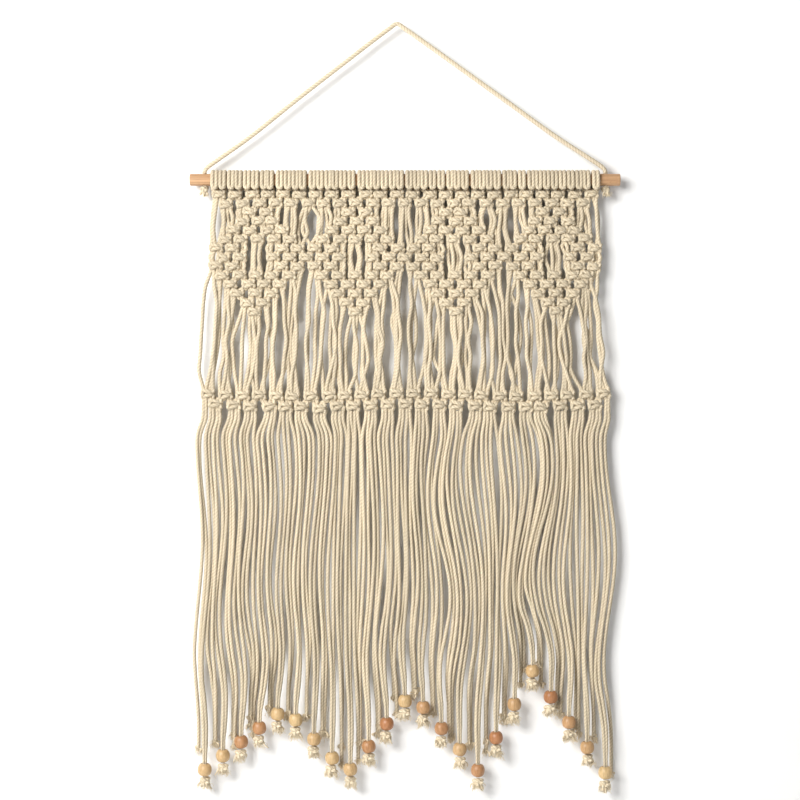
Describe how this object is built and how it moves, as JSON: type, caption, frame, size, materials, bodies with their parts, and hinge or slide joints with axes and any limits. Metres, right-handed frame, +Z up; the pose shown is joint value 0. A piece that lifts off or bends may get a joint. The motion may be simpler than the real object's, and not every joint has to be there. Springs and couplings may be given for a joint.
{
  "type": "macrame wall hanging",
  "caption": "Knotted cotton macrame wall hanging on a wooden dowel, with a row of diamonds, a knot band and a zigzag fringe with wooden beads.",
  "frame": {"origin": "Where the hanger cord bears on its nail, at the underside of the cord's highest point", "axes": "+Z up, X along the dowel with +X to the viewer's right, -Y towards the viewer and +Y towards the wall"},
  "size_m": [0.43, 0.0206, 0.7743],
  "materials": {
    "cotton_cord": "three-ply twisted natural cotton cord, matt, knotted",
    "dowel_wood": "turned beech dowel, sanded, thin clear oil",
    "bead_wood": "turned wooden bead, polished, unvarnished"
  },
  "bodies": {
    "hanger": {"dowel": "dowel_wood", "hanger_cord": "cotton_cord", "hanger_hitch_left": "cotton_cord", "hanger_hitch_right": "cotton_cord"},
    "curtain": {"head_row": "cotton_cord", "diamond_net": "cotton_cord", "upper_strands_1": "cotton_cord", "upper_strands_2": "cotton_cord", "upper_strands_3": "cotton_cord", "upper_strands_4": "cotton_cord", "upper_strands_5": "cotton_cord", "lower_strands": "cotton_cord", "knot_band": "cotton_cord"},
    "fringe": {"fringe": "cotton_cord", "strand_01": "cotton_cord", "strand_02": "cotton_cord", "strand_03": "cotton_cord", "strand_04": "cotton_cord", "strand_05": "cotton_cord", "strand_06": "cotton_cord", "strand_07": "cotton_cord", "strand_08": "cotton_cord", "strand_09": "cotton_cord", "strand_10": "cotton_cord", "strand_11": "cotton_cord", "strand_12": "cotton_cord", "strand_13": "cotton_cord", "strand_14": "cotton_cord", "strand_15": "cotton_cord", "strand_16": "cotton_cord", "strand_17": "cotton_cord", "strand_18": "cotton_cord", "strand_19": "cotton_cord", "strand_20": "cotton_cord", "strand_21": "cotton_cord", "strand_22": "cotton_cord", "strand_23": "cotton_cord"},
    "bead_01": {"bead_01": "bead_wood"},
    "bead_02": {"bead_02": "bead_wood"},
    "bead_03": {"bead_03": "bead_wood"},
    "bead_04": {"bead_04": "bead_wood"},
    "bead_05": {"bead_05": "bead_wood"},
    "bead_06": {"bead_06": "bead_wood"},
    "bead_07": {"bead_07": "bead_wood"},
    "bead_08": {"bead_08": "bead_wood"},
    "bead_09": {"bead_09": "bead_wood"},
    "bead_10": {"bead_10": "bead_wood"},
    "bead_11": {"bead_11": "bead_wood"},
    "bead_12": {"bead_12": "bead_wood"},
    "bead_13": {"bead_13": "bead_wood"},
    "bead_14": {"bead_14": "bead_wood"},
    "bead_15": {"bead_15": "bead_wood"},
    "bead_16": {"bead_16": "bead_wood"},
    "bead_17": {"bead_17": "bead_wood"},
    "bead_18": {"bead_18": "bead_wood"},
    "bead_19": {"bead_19": "bead_wood"},
    "bead_20": {"bead_20": "bead_wood"},
    "bead_21": {"bead_21": "bead_wood"},
    "bead_22": {"bead_22": "bead_wood"},
    "bead_23": {"bead_23": "bead_wood"}
  },
  "joints": [
    {"name": "curtain_swing", "type": "hinge", "parent": "hanger", "child": "curtain", "pos_m": [0.008, 0, -0.154], "axis": [-1, 0, 0], "range_deg": [0, 45]},
    {"name": "fringe_swing", "type": "hinge", "parent": "curtain", "child": "fringe", "pos_m": [0.008, 0, -0.388], "axis": [-1, 0, 0], "range_deg": [0, 60]},
    {"name": "bead_01_slide", "type": "slide", "parent": "fringe", "child": "bead_01", "axis": [0, 0, 1], "range_m": [0, 0.012]},
    {"name": "bead_02_slide", "type": "slide", "parent": "fringe", "child": "bead_02", "axis": [0, 0, 1], "range_m": [0, 0.012]},
    {"name": "bead_03_slide", "type": "slide", "parent": "fringe", "child": "bead_03", "axis": [0, 0, 1], "range_m": [0, 0.012]},
    {"name": "bead_04_slide", "type": "slide", "parent": "fringe", "child": "bead_04", "axis": [0, 0, 1], "range_m": [0, 0.012]},
    {"name": "bead_05_slide", "type": "slide", "parent": "fringe", "child": "bead_05", "axis": [0, 0, 1], "range_m": [0, 0.012]},
    {"name": "bead_06_slide", "type": "slide", "parent": "fringe", "child": "bead_06", "axis": [0, 0, 1], "range_m": [0, 0.012]},
    {"name": "bead_07_slide", "type": "slide", "parent": "fringe", "child": "bead_07", "axis": [0, 0, 1], "range_m": [0, 0.012]},
    {"name": "bead_08_slide", "type": "slide", "parent": "fringe", "child": "bead_08", "axis": [0, 0, 1], "range_m": [0, 0.012]},
    {"name": "bead_09_slide", "type": "slide", "parent": "fringe", "child": "bead_09", "axis": [0, 0, 1], "range_m": [0, 0.012]},
    {"name": "bead_10_slide", "type": "slide", "parent": "fringe", "child": "bead_10", "axis": [0, 0, 1], "range_m": [0, 0.012]},
    {"name": "bead_11_slide", "type": "slide", "parent": "fringe", "child": "bead_11", "axis": [0, 0, 1], "range_m": [0, 0.012]},
    {"name": "bead_12_slide", "type": "slide", "parent": "fringe", "child": "bead_12", "axis": [0, 0, 1], "range_m": [0, 0.012]},
    {"name": "bead_13_slide", "type": "slide", "parent": "fringe", "child": "bead_13", "axis": [0, 0, 1], "range_m": [0, 0.012]},
    {"name": "bead_14_slide", "type": "slide", "parent": "fringe", "child": "bead_14", "axis": [0, 0, 1], "range_m": [0, 0.012]},
    {"name": "bead_15_slide", "type": "slide", "parent": "fringe", "child": "bead_15", "axis": [0, 0, 1], "range_m": [0, 0.012]},
    {"name": "bead_16_slide", "type": "slide", "parent": "fringe", "child": "bead_16", "axis": [0, 0, 1], "range_m": [0, 0.012]},
    {"name": "bead_17_slide", "type": "slide", "parent": "fringe", "child": "bead_17", "axis": [0, 0, 1], "range_m": [0, 0.012]},
    {"name": "bead_18_slide", "type": "slide", "parent": "fringe", "child": "bead_18", "axis": [0, 0, 1], "range_m": [0, 0.012]},
    {"name": "bead_19_slide", "type": "slide", "parent": "fringe", "child": "bead_19", "axis": [0, 0, 1], "range_m": [0, 0.012]},
    {"name": "bead_20_slide", "type": "slide", "parent": "fringe", "child": "bead_20", "axis": [0, 0, 1], "range_m": [0, 0.012]},
    {"name": "bead_21_slide", "type": "slide", "parent": "fringe", "child": "bead_21", "axis": [0, 0, 1], "range_m": [0, 0.012]},
    {"name": "bead_22_slide", "type": "slide", "parent": "fringe", "child": "bead_22", "axis": [0, 0, 1], "range_m": [0, 0.012]},
    {"name": "bead_23_slide", "type": "slide", "parent": "fringe", "child": "bead_23", "axis": [0, 0, 1], "range_m": [0, 0.012]}
  ]
}
